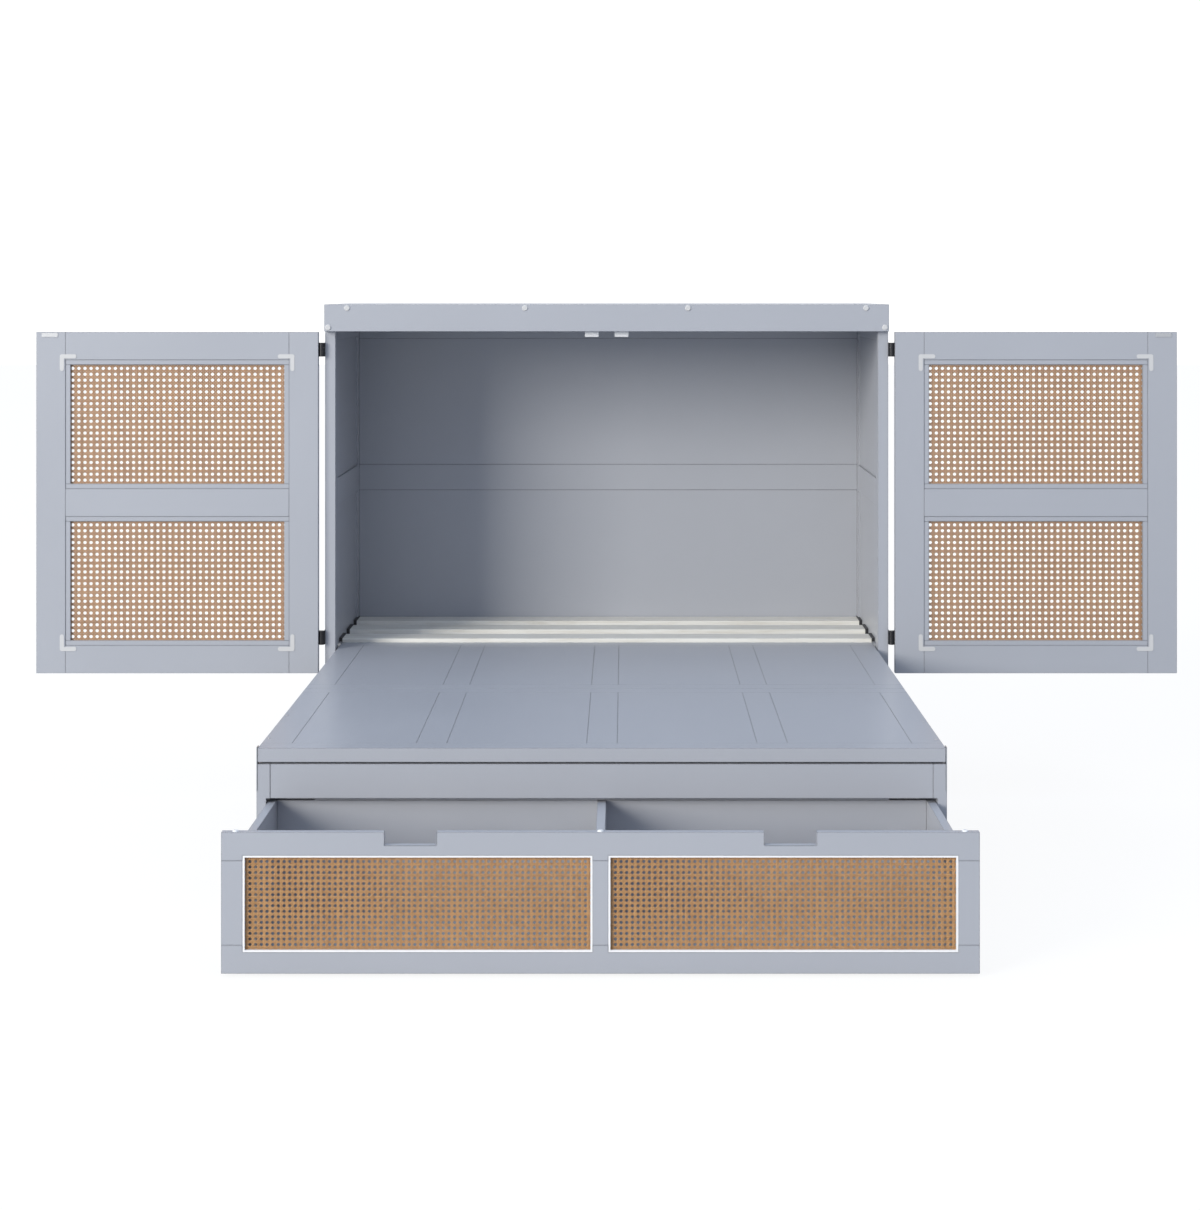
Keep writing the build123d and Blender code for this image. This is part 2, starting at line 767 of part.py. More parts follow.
def drawer_box():
    """Sides and back on a full bottom, with a divider in the middle."""
    floor_top = box_floor + box_bottom
    save("drawer_bottom", board(-box_x, box_x, front_back, box_back, box_floor, floor_top))
    walls = [board(side * box_x, side * (box_x - box_side), front_back, box_back,
                   floor_top, box_top) for side in (-1, 1)]
    inside = box_x - box_side
    walls.append(board(-inside, inside, box_back - box_side, box_back, floor_top, box_top))
    save("drawer_walls", *walls)
    half = divider_thickness / 2
    save("drawer_divider", board(-half, half, front_back, box_back - box_side, floor_top, box_top))


os.makedirs("parts", exist_ok=True)
cabinet_sides()
cabinet_back()
cabinet_top()
cabinet_fittings()
slats()
for door_name, door_side in (("left", -1), ("right", 1)):
    door(door_name, door_side)
    door_hinges(door_name, door_side)
half_gap = seam_gap / 2
slab_panel("mid_panel", seam_y + half_gap, platform_back, rear_pivot_y)
slab_panel("foot_panel", platform_front, seam_y - half_gap, front_pivot_y)
seam_hinges()
panel_screws()
support_legs()
foot_unit()
runners()
drawer_front()
drawer_box()
print(f"cabinet front plane at y = {front_y:.1f} mm")
print(f"pivots: rear y {rear_pivot_y:.2f}, seam y {seam_y:.2f}, front y {front_pivot_y:.2f}")
print(f"pivot z {pivot_z:.1f}, seam z {seam_z:.1f}, leg shaft y {leg_y:.2f} z {leg_z:.1f}")
print(f"unit travel {fold_travel:.2f}, drawer travel {drawer_travel:.2f}, hinge x {hinge_x:.1f}")
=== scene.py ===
# %% [markdown]
# # A cane-fronted storage bed, dressed for its portrait
#
# The bed is a wall cabinet with two doors of woven cane. A platform folds out of it, and under
# the platform's foot stands a wide drawer. Its boards, hinges and runners come from the CAD
# model, which already holds every rigid shape at its true size. This lesson adds what the CAD
# model leaves plain: the weave of the cane and a finish for each surface. Everything is in
# metres, in the frame of the CAD model, so no piece needs fitting.

# %% Load the frame
import json
import math

import bpy
import numpy as np
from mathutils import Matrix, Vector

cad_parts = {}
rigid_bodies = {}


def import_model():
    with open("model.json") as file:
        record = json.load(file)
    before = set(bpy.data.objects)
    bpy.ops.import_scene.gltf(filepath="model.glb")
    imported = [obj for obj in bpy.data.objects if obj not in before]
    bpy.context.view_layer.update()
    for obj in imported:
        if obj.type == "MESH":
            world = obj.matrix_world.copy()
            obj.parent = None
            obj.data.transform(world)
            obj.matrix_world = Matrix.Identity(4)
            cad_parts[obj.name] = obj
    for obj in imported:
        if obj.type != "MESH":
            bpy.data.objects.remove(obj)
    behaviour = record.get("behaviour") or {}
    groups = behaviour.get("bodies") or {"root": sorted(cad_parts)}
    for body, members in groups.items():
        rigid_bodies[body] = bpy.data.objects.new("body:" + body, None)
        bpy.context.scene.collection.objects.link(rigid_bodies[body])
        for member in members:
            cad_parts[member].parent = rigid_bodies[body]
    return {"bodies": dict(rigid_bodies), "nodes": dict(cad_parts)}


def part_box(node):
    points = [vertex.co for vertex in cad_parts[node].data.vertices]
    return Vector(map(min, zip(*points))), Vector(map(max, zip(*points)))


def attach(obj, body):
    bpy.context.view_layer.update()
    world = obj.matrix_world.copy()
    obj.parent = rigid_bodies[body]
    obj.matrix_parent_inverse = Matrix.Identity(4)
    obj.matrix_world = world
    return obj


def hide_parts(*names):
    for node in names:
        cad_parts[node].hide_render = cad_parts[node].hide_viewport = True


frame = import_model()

bodies, nodes = frame["bodies"], frame["nodes"]
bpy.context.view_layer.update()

# %% [markdown]
# ## The camera
#
# The portrait was taken square to the cabinet, from a little over standing eye level, and the
# picture was then moved down to take in the drawer. A tilted camera would make the cabinet's
# sides lean together. The sides in the portrait are upright, so the camera here looks level
# and its sensor is shifted instead, as an architect's camera does.

# %% Camera
PHOTO_WIDTH, PHOTO_HEIGHT = 1200, 1210
FOCAL_PIXELS = 2374
VANISHING_POINT = 624.7, 289.0
SENSOR_WIDTH = 36
CAMERA_X, CAMERA_DISTANCE, CAMERA_HEIGHT = 0.052, 6.850, 1.4742
cabinet_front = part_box("left_side_frame")[0].y
camera_data = bpy.data.cameras.new("portrait_camera")
camera_data.sensor_width = SENSOR_WIDTH
camera_data.lens = SENSOR_WIDTH * FOCAL_PIXELS / PHOTO_HEIGHT
camera_data.shift_x = (PHOTO_WIDTH / 2 - VANISHING_POINT[0]) / PHOTO_HEIGHT
camera_data.shift_y = (VANISHING_POINT[1] - PHOTO_HEIGHT / 2) / PHOTO_HEIGHT
camera = bpy.data.objects.new("portrait_camera", camera_data)
camera.location = (CAMERA_X, cabinet_front - CAMERA_DISTANCE, CAMERA_HEIGHT)
camera.rotation_euler = (math.radians(90), 0, 0)
bpy.context.scene.collection.objects.link(camera)
bpy.context.scene.camera = camera
print(f"lens {camera_data.lens:.1f} mm, shift {camera_data.shift_x:.4f}, {camera_data.shift_y:.4f}")

# %% [markdown]
# ## Floor
#
# The bed stands in a white studio, which the portrait shows almost without a shadow. A very
# white floor would throw too much light up at the fronts of the boards. So the floor is a
# matt grey, and only the camera sees a glow mixed into it. A share of the matt floor stays in
# sight, and with it the faint shadow that ties the bed to the ground.

# %% Floor
FLOOR_GLOW = 1.14
GLOW_SHARE = 0.78


def floor_material():
    """A matt floor with a faint mottle, which to the camera looks lit from below."""
    material = bpy.data.materials.new("studio_floor")
    material.use_nodes = True
    tree = material.node_tree
    shader = tree.nodes["Principled BSDF"]
    noise = tree.nodes.new("ShaderNodeTexNoise")
    noise.inputs["Scale"].default_value = 0.8
    mottle = tree.nodes.new("ShaderNodeMapRange")
    mottle.inputs["To Min"].default_value = 0.54
    mottle.inputs["To Max"].default_value = 0.56
    tree.links.new(noise.outputs["Fac"], mottle.inputs["Value"])
    tree.links.new(mottle.outputs["Result"], shader.inputs["Base Color"])
    shader.inputs["Roughness"].default_value = 0.9
    shader.inputs["Specular IOR Level"].default_value = 0.1
    glow = tree.nodes.new("ShaderNodeEmission")
    glow.inputs["Strength"].default_value = FLOOR_GLOW
    seen = tree.nodes.new("ShaderNodeLightPath")
    share = tree.nodes.new("ShaderNodeMath")
    share.operation = "MULTIPLY"
    share.inputs[1].default_value = GLOW_SHARE
    blend = tree.nodes.new("ShaderNodeMixShader")
    tree.links.new(seen.outputs["Is Camera Ray"], share.inputs[0])
    tree.links.new(share.outputs[0], blend.inputs[0])
    tree.links.new(shader.outputs[0], blend.inputs[1])
    tree.links.new(glow.outputs[0], blend.inputs[2])
    tree.links.new(blend.outputs[0], tree.nodes["Material Output"].inputs["Surface"])
    return material


floor_mesh = bpy.data.meshes.new("studio_floor")
half = 40.0
floor_mesh.from_pydata([(-half, -half, 0), (half, -half, 0), (half, half, 0), (-half, half, 0)],
                       [], [(0, 1, 2, 3)])
floor = bpy.data.objects.new("studio_floor", floor_mesh)
floor_mesh.materials.append(floor_material())
bpy.context.scene.collection.objects.link(floor)
print(f"floor {2 * half:.0f} m square")

# %% [markdown]
# ## Sky and lamp
#
# In the portrait the shaded insides of the cabinet are bluish and the lit sides a warm grey.
# That takes two lights. The sky gives the first: bluish, dim near the horizon and brighter
# overhead, but only for the light that surfaces scatter. The camera and the gloss of the
# lacquer see it as plain white. One large lamp gives the second, warm and far to the left of
# the camera, so that it reaches both doors alike and leaves the left inner wall in shade.

# %% Sky and lamp
world = bpy.data.worlds.new("studio_sky")
bpy.context.scene.world = world
world.use_nodes = True
sky_tree = world.node_tree
direction = sky_tree.nodes.new("ShaderNodeTexCoord")
parts = sky_tree.nodes.new("ShaderNodeSeparateXYZ")
ramp = sky_tree.nodes.new("ShaderNodeValToRGB")
ramp.color_ramp.elements[0].position = 0.0
ramp.color_ramp.elements[0].color = (0.20, 0.22, 0.29, 1)
ramp.color_ramp.elements[1].position = 0.9
ramp.color_ramp.elements[1].color = (0.70, 0.82, 1.00, 1)
sky_tree.links.new(direction.outputs["Generated"], parts.inputs[0])
sky_tree.links.new(parts.outputs["Z"], ramp.inputs["Fac"])
seen = sky_tree.nodes.new("ShaderNodeLightPath")
backdrop = sky_tree.nodes.new("ShaderNodeMix")
backdrop.data_type = "RGBA"
backdrop.inputs[6].default_value = (1.0, 1.0, 1.0, 1)
sky_tree.links.new(seen.outputs["Is Diffuse Ray"], backdrop.inputs[0])
sky_tree.links.new(ramp.outputs["Color"], backdrop.inputs[7])
sky_tree.links.new(backdrop.outputs[2], sky_tree.nodes["Background"].inputs["Color"])
sky_tree.nodes["Background"].inputs["Strength"].default_value = 1.18


def soft_lamp(name, place, target, size, power, colour):
    """A square area lamp at a place, turned to face a target."""
    data = bpy.data.lights.new(name, "AREA")
    data.size = size
    data.energy = power
    data.color = colour
    lamp = bpy.data.objects.new(name, data)
    place, target = np.array(place), np.array(target)
    x, y, z = target - place
    lamp.location = place
    lamp.rotation_euler = (math.acos(-z / math.sqrt(x * x + y * y + z * z)), 0,
                           math.atan2(-x, y))
    bpy.context.scene.collection.objects.link(lamp)
    return lamp


soft_lamp("key_lamp", (-20.5, -20.5, 8.8), (0, 0.0, 0.7), 12.0, 8900, (1.0, 0.96, 0.87))
bpy.context.scene.view_settings.view_transform = "Standard"
print("one sky and one lamp")

# %% [markdown]
# ## Helpers for node groups
#
# Several finishes share an effect, such as the film of the lacquer. Each such effect is a node
# group, made once and placed in every material that needs it, with values of its own. These
# helpers keep the making of groups and nodes short.

# %% Node group helpers
COLOUR, FLOAT = "NodeSocketColor", "NodeSocketFloat"


def new_group(name, inputs, outputs):
    """A shader node group with named float or colour sockets."""
    group = bpy.data.node_groups.new(name, "ShaderNodeTree")
    for label, kind, value in inputs:
        socket = group.interface.new_socket(label, in_out="INPUT", socket_type=kind)
        socket.default_value = value
    for label, kind in outputs:
        group.interface.new_socket(label, in_out="OUTPUT", socket_type=kind)
    enter = group.nodes.new("NodeGroupInput")
    leave = group.nodes.new("NodeGroupOutput")
    return group, enter, leave


def add(tree, kind, **values):
    """A new node with some of its input sockets or its properties set."""
    node = tree.nodes.new(kind)
    for label, value in values.items():
        name = label.replace("_", " ")
        if name in node.inputs:
            node.inputs[name].default_value = value
        else:
            setattr(node, label, value)
    return node


def multiply(tree, colour_a, colour_b):
    """Two colours multiplied together, as a Mix node."""
    mix = tree.nodes.new("ShaderNodeMix")
    mix.data_type = "RGBA"
    mix.blend_type = "MULTIPLY"
    mix.inputs[0].default_value = 1.0
    tree.links.new(colour_a, mix.inputs[6])
    tree.links.new(colour_b, mix.inputs[7])
    return mix.outputs[2]


print(f"sockets carry {COLOUR} or {FLOAT}")

# %% [markdown]
# ## Painted boards
#
# The boards are lacquered in a satin grey-blue. Seen close, such a lacquer is not one colour:
# the film is a little thicker or thinner from place to place, its skin has the fine dimples
# that a spray gun leaves, and the gloss wanders. The colour is also darkened at the rounded
# edges of the boards. This is painted shade, which stands for the shadow in each joint of a frame
# and shows it as a fine line. One node group makes these effects from the object's own
# coordinates and edges, so that nothing stretches or repeats, and each painted material sets its
# own colour and scale.

# %% Lacquer
EDGE_REACH = 0.002
GLOSS_DRIFT = 0.12


def lacquer_group():
    """Lacquer film: colour times a slow drift, roughness with a slow drift, fine dimples.

    Within EDGE_REACH of an edge, rays sent into the board soon come out at its side. The share
    that comes out darkens the film to Edge times its colour, as a thin line at each joint. This is
    painted shade, which stands for the shadow that falls into the groove between boards.
    """
    group, enter, leave = new_group(
        "lacquer_film",
        [("Colour", COLOUR, (0.5, 0.5, 0.5, 1)), ("Drift", FLOAT, 0.05),
         ("Roughness", FLOAT, 0.4), ("Dimple Scale", FLOAT, 700.0), ("Edge Shade", FLOAT, 1.0)],
        [("Colour", COLOUR), ("Roughness", FLOAT), ("Height", FLOAT)])
    links = group.links
    place = add(group, "ShaderNodeTexCoord")
    slow = add(group, "ShaderNodeTexNoise", Scale=2.9, Detail=3.0)
    fine = add(group, "ShaderNodeTexNoise", Detail=2.0)
    links.new(place.outputs["Object"], slow.inputs["Vector"])
    links.new(place.outputs["Object"], fine.inputs["Vector"])
    links.new(enter.outputs["Dimple Scale"], fine.inputs["Scale"])
    centred = add(group, "ShaderNodeMath", operation="SUBTRACT")
    centred.inputs[1].default_value = 0.5
    links.new(slow.outputs["Fac"], centred.inputs[0])
    sway = add(group, "ShaderNodeMath", operation="MULTIPLY_ADD")
    links.new(centred.outputs[0], sway.inputs[0])
    links.new(enter.outputs["Drift"], sway.inputs[1])
    sway.inputs[2].default_value = 1.0
    # Painted shade: occlusion traced from inside the board darkens the colour near its edges, as
    # the shadow in each joint would.
    inward = add(group, "ShaderNodeAmbientOcclusion", samples=4, inside=True, Distance=EDGE_REACH)
    painted_edge_shade = add(group, "ShaderNodeMapRange")
    painted_edge_shade.inputs["From Min"].default_value = 0.5
    painted_edge_shade.inputs["From Max"].default_value = 0.95
    links.new(inward.outputs["AO"], painted_edge_shade.inputs["Value"])
    links.new(enter.outputs["Edge Shade"], painted_edge_shade.inputs["To Min"])
    shade = add(group, "ShaderNodeMath", operation="MULTIPLY")
    links.new(sway.outputs[0], shade.inputs[0])
    links.new(painted_edge_shade.outputs["Result"], shade.inputs[1])
    tint = add(group, "ShaderNodeCombineColor")
    for index in range(3):
        links.new(shade.outputs[0], tint.inputs[index])
    links.new(multiply(group, enter.outputs["Colour"], tint.outputs[0]), leave.inputs["Colour"])
    gloss = add(group, "ShaderNodeMath", operation="MULTIPLY_ADD")
    gloss.inputs[1].default_value = GLOSS_DRIFT
    links.new(centred.outputs[0], gloss.inputs[0])
    links.new(enter.outputs["Roughness"], gloss.inputs[2])
    links.new(gloss.outputs[0], leave.inputs["Roughness"])
    links.new(fine.outputs["Fac"], leave.inputs["Height"])
    return group


lacquer = lacquer_group()
print(f"{lacquer.name}: {len(lacquer.nodes)} nodes")

# %% [markdown]
# ## From a group to a finish
#
# A group gives the colour, the roughness and a height. The material adds the shader, and a
# Bump node that turns the height into small tilts of the surface. The shader stays in the
# material itself, where its other values, such as Metallic, can differ per finish.

# %% Painted finishes
def finish(name, group, values, bump, depth, metallic=0.0):
    """A material whose colour, roughness and bump height come from one node group."""
    material = bpy.data.materials.new(name)
    material.use_nodes = True
    tree = material.node_tree
    shader = tree.nodes["Principled BSDF"]
    effect = tree.nodes.new("ShaderNodeGroup")
    effect.node_tree = group
    for label, value in values.items():
        effect.inputs[label].default_value = value
    relief = add(tree, "ShaderNodeBump", Strength=bump, Distance=depth)
    tree.links.new(effect.outputs["Colour"], shader.inputs["Base Color"])
    tree.links.new(effect.outputs["Roughness"], shader.inputs["Roughness"])
    tree.links.new(effect.outputs["Height"], relief.inputs["Height"])
    tree.links.new(relief.outputs["Normal"], shader.inputs["Normal"])
    shader.inputs["Metallic"].default_value = metallic
    return material


def rgb(red, green, blue):
    """An sRGB colour of 0 to 255 as the linear numbers that shaders use."""
    share = np.array([red, green, blue]) / 255
    linear = np.where(share < 0.04045, share / 12.92, ((share + 0.055) / 1.055) ** 2.4)
    return (*linear.tolist(), 1.0)


# An edge value of 0.2 paints shade into the joints of the boards, darkening the colour there to a
# fifth.
grey_blue = finish("grey_blue_paint", lacquer,
                   {"Colour": rgb(163, 166, 174), "Drift": 0.06, "Roughness": 0.33,
                    "Dimple Scale": 310.0, "Edge Shade": 0.2}, 0.10, 0.00012)
white_bead = finish("white_bead", lacquer,
                    {"Colour": rgb(232, 232, 234), "Drift": 0.03, "Roughness": 0.4,
                     "Dimple Scale": 400.0}, 0.1, 0.0001)
print(f"painted finishes: {grey_blue.name}, {white_bead.name}")

# %% [markdown]
# ## Slat wood, plastics and metals
#
# The slats are pale peeled timber with a thin white wash, so the grain runs along them in
# faint lines. Noise that is squeezed across the board gives long streaks of that kind. The
# fittings are moulded plastic, plated steel and black lacquered steel. Their skin is much
# like sprayed paint with finer dimples, so the lacquer group serves them too.

# %% Wood and fittings
def grain_group():
    """Grain along X: noise squeezed across the board, so that it draws long streaks."""
    group, enter, leave = new_group(
        "board_grain",
        [("Colour", COLOUR, (0.8, 0.8, 0.75, 1)), ("Vein", COLOUR, (0.6, 0.55, 0.45, 1)),
         ("Roughness", FLOAT, 0.6), ("Grain Scale", FLOAT, 60.0)],
        [("Colour", COLOUR), ("Roughness", FLOAT), ("Height", FLOAT)])
    links = group.links
    place = add(group, "ShaderNodeTexCoord")
    squeeze = add(group, "ShaderNodeMapping")
    squeeze.inputs["Scale"].default_value = (0.06, 1.0, 1.0)
    streaks = add(group, "ShaderNodeTexNoise", Detail=6.0, Roughness=0.6, Distortion=0.6)
    links.new(place.outputs["Object"], squeeze.inputs["Vector"])
    links.new(squeeze.outputs["Vector"], streaks.inputs["Vector"])
    links.new(enter.outputs["Grain Scale"], streaks.inputs["Scale"])
    mask = add(group, "ShaderNodeMapRange")
    mask.inputs["From Min"].default_value = 0.45
    mask.inputs["From Max"].default_value = 0.75
    links.new(streaks.outputs["Fac"], mask.inputs["Value"])
    mix = add(group, "ShaderNodeMix", data_type="RGBA")
    links.new(mask.outputs["Result"], mix.inputs[0])
    links.new(enter.outputs["Colour"], mix.inputs[6])
    links.new(enter.outputs["Vein"], mix.inputs[7])
    links.new(mix.outputs[2], leave.inputs["Colour"])
    links.new(enter.outputs["Roughness"], leave.inputs["Roughness"])
    links.new(streaks.outputs["Fac"], leave.inputs["Height"])
    return group


grain = grain_group()
slat_wood = finish("pale_slat_wood", grain,
                   {"Colour": rgb(229, 228, 223), "Vein": rgb(209, 205, 195),
                    "Roughness": 0.55, "Grain Scale": 90.0}, 0.15, 0.0003)
white_plastic = finish("white_plastic", lacquer,
                       {"Colour": rgb(225, 226, 228), "Drift": 0.02, "Roughness": 0.35,
                        "Dimple Scale": 1500.0}, 0.08, 0.0001)
pale_fittings = finish("pale_fittings", lacquer,
                       {"Colour": rgb(196, 196, 197), "Drift": 0.03, "Roughness": 0.35,
                        "Dimple Scale": 1500.0}, 0.08, 0.0001)
black_plastic = finish("black_plastic", lacquer,
                       {"Colour": rgb(38, 39, 43), "Drift": 0.1, "Roughness": 0.5,
                        "Dimple Scale": 1200.0}, 0.15, 0.0002)
black_metal = finish("black_metal", lacquer,
                     {"Colour": rgb(40, 41, 45), "Drift": 0.1, "Roughness": 0.4,
                      "Dimple Scale": 1500.0}, 0.1, 0.0001, metallic=0.6)
steel = finish("plated_steel", lacquer,
               {"Colour": rgb(190, 192, 196), "Drift": 0.1, "Roughness": 0.32,
                "Dimple Scale": 1500.0}, 0.05, 0.0001, metallic=1.0)
print(f"{grain.name}: {len(grain.nodes)} nodes, and 6 finishes for slats and fittings")

# %% [markdown]
# ## Cane
#
# Cane is the shiny outer skin of rattan, cut into flat strips. In this pattern, pairs of
# upright strips cross pairs of level ones, and single strips run both ways on the slant
# through the middle of each side of the square. What stays open is a hole with eight sides.
# It could be a flat sheet with a see-through pattern, but a sheet has no thickness at its
# edges and casts no shadow into its own holes. So each strip is real: a ribbon with five
# sides, which rises and sinks as it goes over and under the others.

# %% Cane colour
def cane_group():
    """Cane skin: long fine fibres along the strip, and a tone that differs per strip."""
    group, enter, leave = new_group(
        "cane_skin",
        [("Colour", COLOUR, (0.6, 0.4, 0.2, 1)), ("Dark", COLOUR, (0.4, 0.2, 0.1, 1)),
         ("Roughness", FLOAT, 0.45)],
        [("Colour", COLOUR), ("Roughness", FLOAT), ("Height", FLOAT)])
    links = group.links
    fibre = add(group, "ShaderNodeAttribute", attribute_name="fibre")
    tone = add(group, "ShaderNodeAttribute", attribute_name="tone")
    streaks = add(group, "ShaderNodeTexNoise", Scale=1.0, Detail=4.0, Roughness=0.65)
    links.new(fibre.outputs["Vector"], streaks.inputs["Vector"])
    total = add(group, "ShaderNodeMath", operation="ADD")
    links.new(streaks.outputs["Fac"], total.inputs[0])
    links.new(tone.outputs["Fac"], total.inputs[1])
    mask = add(group, "ShaderNodeMapRange")
    mask.inputs["From Min"].default_value = 0.4
    mask.inputs["From Max"].default_value = 1.0
    links.new(total.outputs[0], mask.inputs["Value"])
    mix = add(group, "ShaderNodeMix", data_type="RGBA")
    links.new(mask.outputs["Result"], mix.inputs[0])
    links.new(enter.outputs["Colour"], mix.inputs[6])
    links.new(enter.outputs["Dark"], mix.inputs[7])
    links.new(mix.outputs[2], leave.inputs["Colour"])
    links.new(enter.outputs["Roughness"], leave.inputs["Roughness"])
    links.new(streaks.outputs["Fac"], leave.inputs["Height"])
    return group


cane_skin = cane_group()
door_cane = finish("door_cane", cane_skin,
                   {"Colour": rgb(184, 141, 99), "Dark": rgb(90, 52, 28)}, 0.3, 0.0002)
drawer_cane = finish("drawer_cane", cane_skin,
                     {"Colour": rgb(197, 152, 101), "Dark": rgb(112, 69, 35)}, 0.3, 0.0002)
print(f"cane finishes: {door_cane.name}, {drawer_cane.name}")

# %% [markdown]
# ## Ribbons
#
# A strip of cane is flat with a rounded back, so its section here is an outline with five
# sides, carried along a row of points. Fibres follow the strip and not the object, so each
# point also keeps two attributes for the finish: fibre, a place along and across its strip,
# and tone, one number per strip.

# %% Ribbons
FRONT = np.array([0.0, -1.0, 0.0])
RIBBON = np.array([(-1.0, 0.0), (-0.55, 1.0), (0.55, 1.0), (1.0, 0.0), (0.0, -1.0)])
SHORTEST_MOVE = 1e-6
TONE_SHARE = 0.2
FIBRES_ACROSS, FIBRES_ALONG, FIBRE_SHIFT = 2.5, 45, 90


def ribbons(centres, ahead, width, thickness):
    """Strips with five sides along rows of centre points.

    A strip's section is the fixed outline RIBBON, times half its width sideways and half its
    thickness to the front. Sideways is ahead x front. Points outside the panel repeat the
    nearest point inside it, and a quad between two equal points is left out.
    """
    side = np.cross(ahead, FRONT)
    offsets = RIBBON[:, :1] * side * width / 2 + RIBBON[:, 1:] * FRONT * thickness / 2
    points = centres[:, :, None, :] + offsets
    strips, steps, sides = points.shape[:3]
    index = np.arange(strips * steps * sides).reshape(strips, steps, sides)
    here, there = index[:, :-1], index[:, 1:]
    quads = np.stack([here, np.roll(here, -1, 2), np.roll(there, -1, 2), there], -1)
    moves = np.linalg.norm(np.diff(centres, axis=1), axis=2) > SHORTEST_MOVE
    quads = quads[moves]
    first = moves.argmax(1)
    last = steps - 1 - moves[:, ::-1].argmax(1)
    rows = np.flatnonzero(moves.any(1))
    caps = np.concatenate([index[rows, first[rows]][:, ::-1], index[rows, last[rows]]])
    travel = np.linalg.norm(centres - centres[:, :1], axis=2)
    return points.reshape(-1, 3), quads.reshape(-1, 4), caps, travel


def family(rng, centres, ahead, width, thickness):
    """One direction of a weave: its ribbons, with a tone and a fibre place for each point."""
    points, quads, caps, travel = ribbons(centres, np.array(ahead), width, thickness)
    strips, steps = travel.shape
    sides = len(RIBBON)
    tone = np.repeat(rng.random(strips) * TONE_SHARE, steps * sides)
    across = np.broadcast_to(RIBBON[:, 0] * FIBRES_ACROSS, (strips, steps, sides))
    shift = rng.random(strips)[:, None, None] * FIBRE_SHIFT
    along = np.broadcast_to(travel[:, :, None] * FIBRES_ALONG, (strips, steps, sides)) + shift
    fibre = np.stack([along, across, np.broadcast_to(shift, along.shape)], -1)
    return points, quads, caps, tone, fibre.reshape(-1, 3)


print(f"a ribbon has {len(RIBBON)} sides")

# %% [markdown]
# ## The weave
#
# A weaver passes each strip over and under the others by turns. A cosine does the same: a
# strip's height is a wave whose top falls where the strip that it crosses has its bottom. The
# lines are counted in cells of the pattern, turned into metres, given their ribbons, and
# joined into one mesh for each panel.

# %% Weave
PAIR_SPREAD = 0.115
PAIR_RISE = 0.55
SLANT_INSET = 0.02
SHORTEST_SLANT = 0.2
PANEL_PLAY = 0.00005


def join(name, pieces):
    """One mesh of all the ribbons of a weave, without the points that no face uses."""
    points, quads, caps, tone, fibre = zip(*pieces)
    counts = np.cumsum([0] + [len(part) for part in points])
    quads = np.concatenate([part + count for part, count in zip(quads, counts)])
    caps = np.concatenate([part + count for part, count in zip(caps, counts)])
    used = np.unique(np.concatenate([quads.ravel(), caps.ravel()]))
    renumber = np.zeros(counts[-1], int)
    renumber[used] = np.arange(len(used))
    faces = renumber[quads].tolist() + renumber[caps].tolist()
    mesh = bpy.data.meshes.new(name)
    mesh.from_pydata(np.concatenate(points)[used].tolist(), [], faces)
    mesh.attributes.new("tone", "FLOAT", "POINT").data.foreach_set(
        "value", np.concatenate(tone)[used])
    mesh.attributes.new("fibre", "FLOAT_VECTOR", "POINT").data.foreach_set(
        "vector", np.concatenate(fibre)[used].ravel())
    mesh.shade_smooth()
    print(f"{name}: {len(mesh.polygons)} faces")
    return mesh


